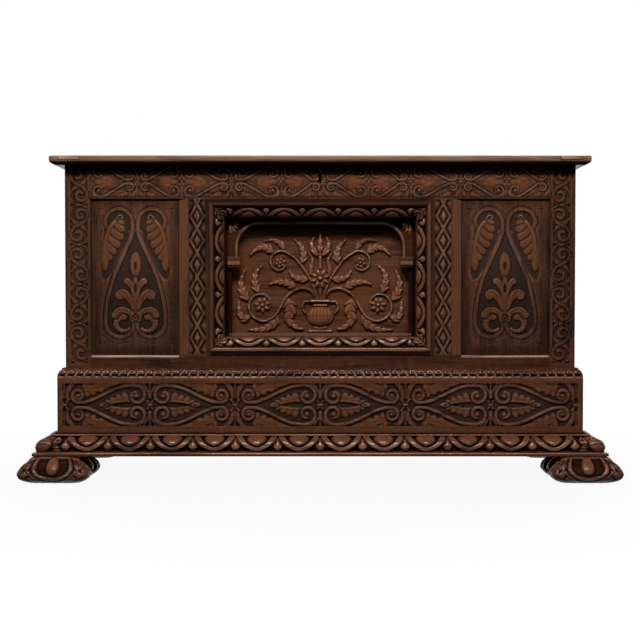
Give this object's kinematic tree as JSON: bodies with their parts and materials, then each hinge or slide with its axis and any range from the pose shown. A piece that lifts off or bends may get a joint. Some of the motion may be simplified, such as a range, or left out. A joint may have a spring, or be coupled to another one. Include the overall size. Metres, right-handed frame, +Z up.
{
  "type": "coffer",
  "caption": "Carved oak coffer: framed and panelled chest on a moulded plinth with cushion feet, with a hinged cleated lid and a chest lock.",
  "frame": {"origin": "on the floor under the middle of the coffer's box", "axes": "+Z up, -Y out of the carved front, +X to the right seen from the front"},
  "size_m": [1.613, 0.6492, 0.884],
  "materials": {
    "carved_oak": "waxed, dark stained",
    "lid_oak": "waxed, dark stained",
    "plain_oak": "dry, unpolished",
    "wrought_iron": "dull black"
  },
  "bodies": {
    "carcase": {"front_left_stile": "carved_oak", "front_right_stile": "carved_oak", "rear_left_stile": "carved_oak", "rear_right_stile": "carved_oak", "front_top_rail": "carved_oak", "front_bottom_rail": "carved_oak", "front_left_muntin": "carved_oak", "front_right_muntin": "carved_oak", "front_left_panel": "carved_oak", "front_right_panel": "carved_oak", "centre_frame_top": "carved_oak", "centre_frame_bottom": "carved_oak", "centre_frame_left": "carved_oak", "centre_frame_right": "carved_oak", "centre_arch": "carved_oak", "centre_panel_upper": "carved_oak", "centre_panel_lower": "carved_oak", "left_top_rail": "carved_oak", "left_bottom_rail": "carved_oak", "left_panel": "carved_oak", "right_top_rail": "carved_oak", "right_bottom_rail": "carved_oak", "right_panel": "carved_oak", "back_top_rail": "plain_oak", "back_bottom_rail": "plain_oak", "back_muntin": "plain_oak", "back_left_panel": "plain_oak", "back_right_panel": "plain_oak", "floor_board_front": "plain_oak", "floor_board_rear": "plain_oak", "base_front_board": "carved_oak", "base_left_board": "carved_oak", "base_right_board": "carved_oak", "base_back_board": "plain_oak", "rope_moulding_front": "carved_oak", "rope_moulding_left": "carved_oak", "rope_moulding_right": "carved_oak", "lunette_moulding_front": "carved_oak", "lunette_moulding_left": "carved_oak", "lunette_moulding_right": "carved_oak", "front_left_foot": "carved_oak", "front_right_foot": "carved_oak", "rear_left_foot": "carved_oak", "rear_right_foot": "carved_oak", "hinge_left_frame_leaf": "wrought_iron", "hinge_left_pin": "wrought_iron", "hinge_right_frame_leaf": "wrought_iron", "hinge_right_pin": "wrought_iron", "lock_plate": "wrought_iron", "lock_case": "wrought_iron", "lock_spring": "wrought_iron", "key_post": "wrought_iron"},
    "lid": {"lid_front_board": "lid_oak", "lid_rear_board": "lid_oak", "lid_left_cleat": "lid_oak", "lid_right_cleat": "lid_oak", "hinge_left_lid_leaf": "wrought_iron", "hinge_right_lid_leaf": "wrought_iron", "link_plate": "wrought_iron"},
    "bolt": {"lock_bolt": "wrought_iron"}
  },
  "joints": [
    {"name": "lid_hinge", "type": "hinge", "parent": "carcase", "child": "lid", "pos_m": [0, 0.31855, 0.8622], "axis": [-1, 0, 0], "range_deg": [0, 100]},
    {"name": "bolt_slide", "type": "slide", "parent": "carcase", "child": "bolt", "axis": [1, 0, 0], "range_m": [0, 0.01]}
  ]
}
